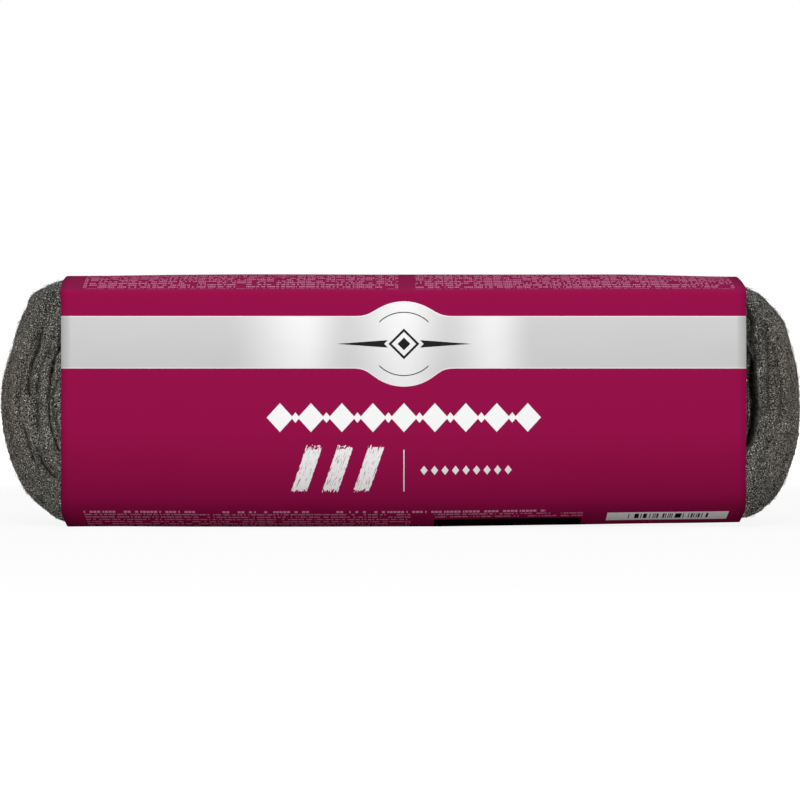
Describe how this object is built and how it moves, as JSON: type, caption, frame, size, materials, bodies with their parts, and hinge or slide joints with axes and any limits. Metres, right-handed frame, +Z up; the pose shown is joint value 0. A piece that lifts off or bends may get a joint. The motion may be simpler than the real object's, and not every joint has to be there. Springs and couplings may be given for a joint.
{
  "type": "steel wool pad",
  "caption": "Long flat skein of fine steel wool in a wide printed paper sleeve, with the looped ends of the wool standing out of both ends.",
  "frame": {"origin": "middle of the footprint, on the surface that the pad stands on", "axes": "+X along the pad to the right as seen from the front, +Z up, the printed front faces -Y"},
  "size_m": [0.2499, 0.0583, 0.0785],
  "materials": {
    "steel_wool": "fine curled steel fibres, dull dark grey with small bright glints",
    "printed_paper": "semi-gloss printed paper, maroon with a silver foil band"
  },
  "bodies": {
    "root": {"steel_wool": "steel_wool", "paper_sleeve": "printed_paper"}
  },
  "joints": []
}
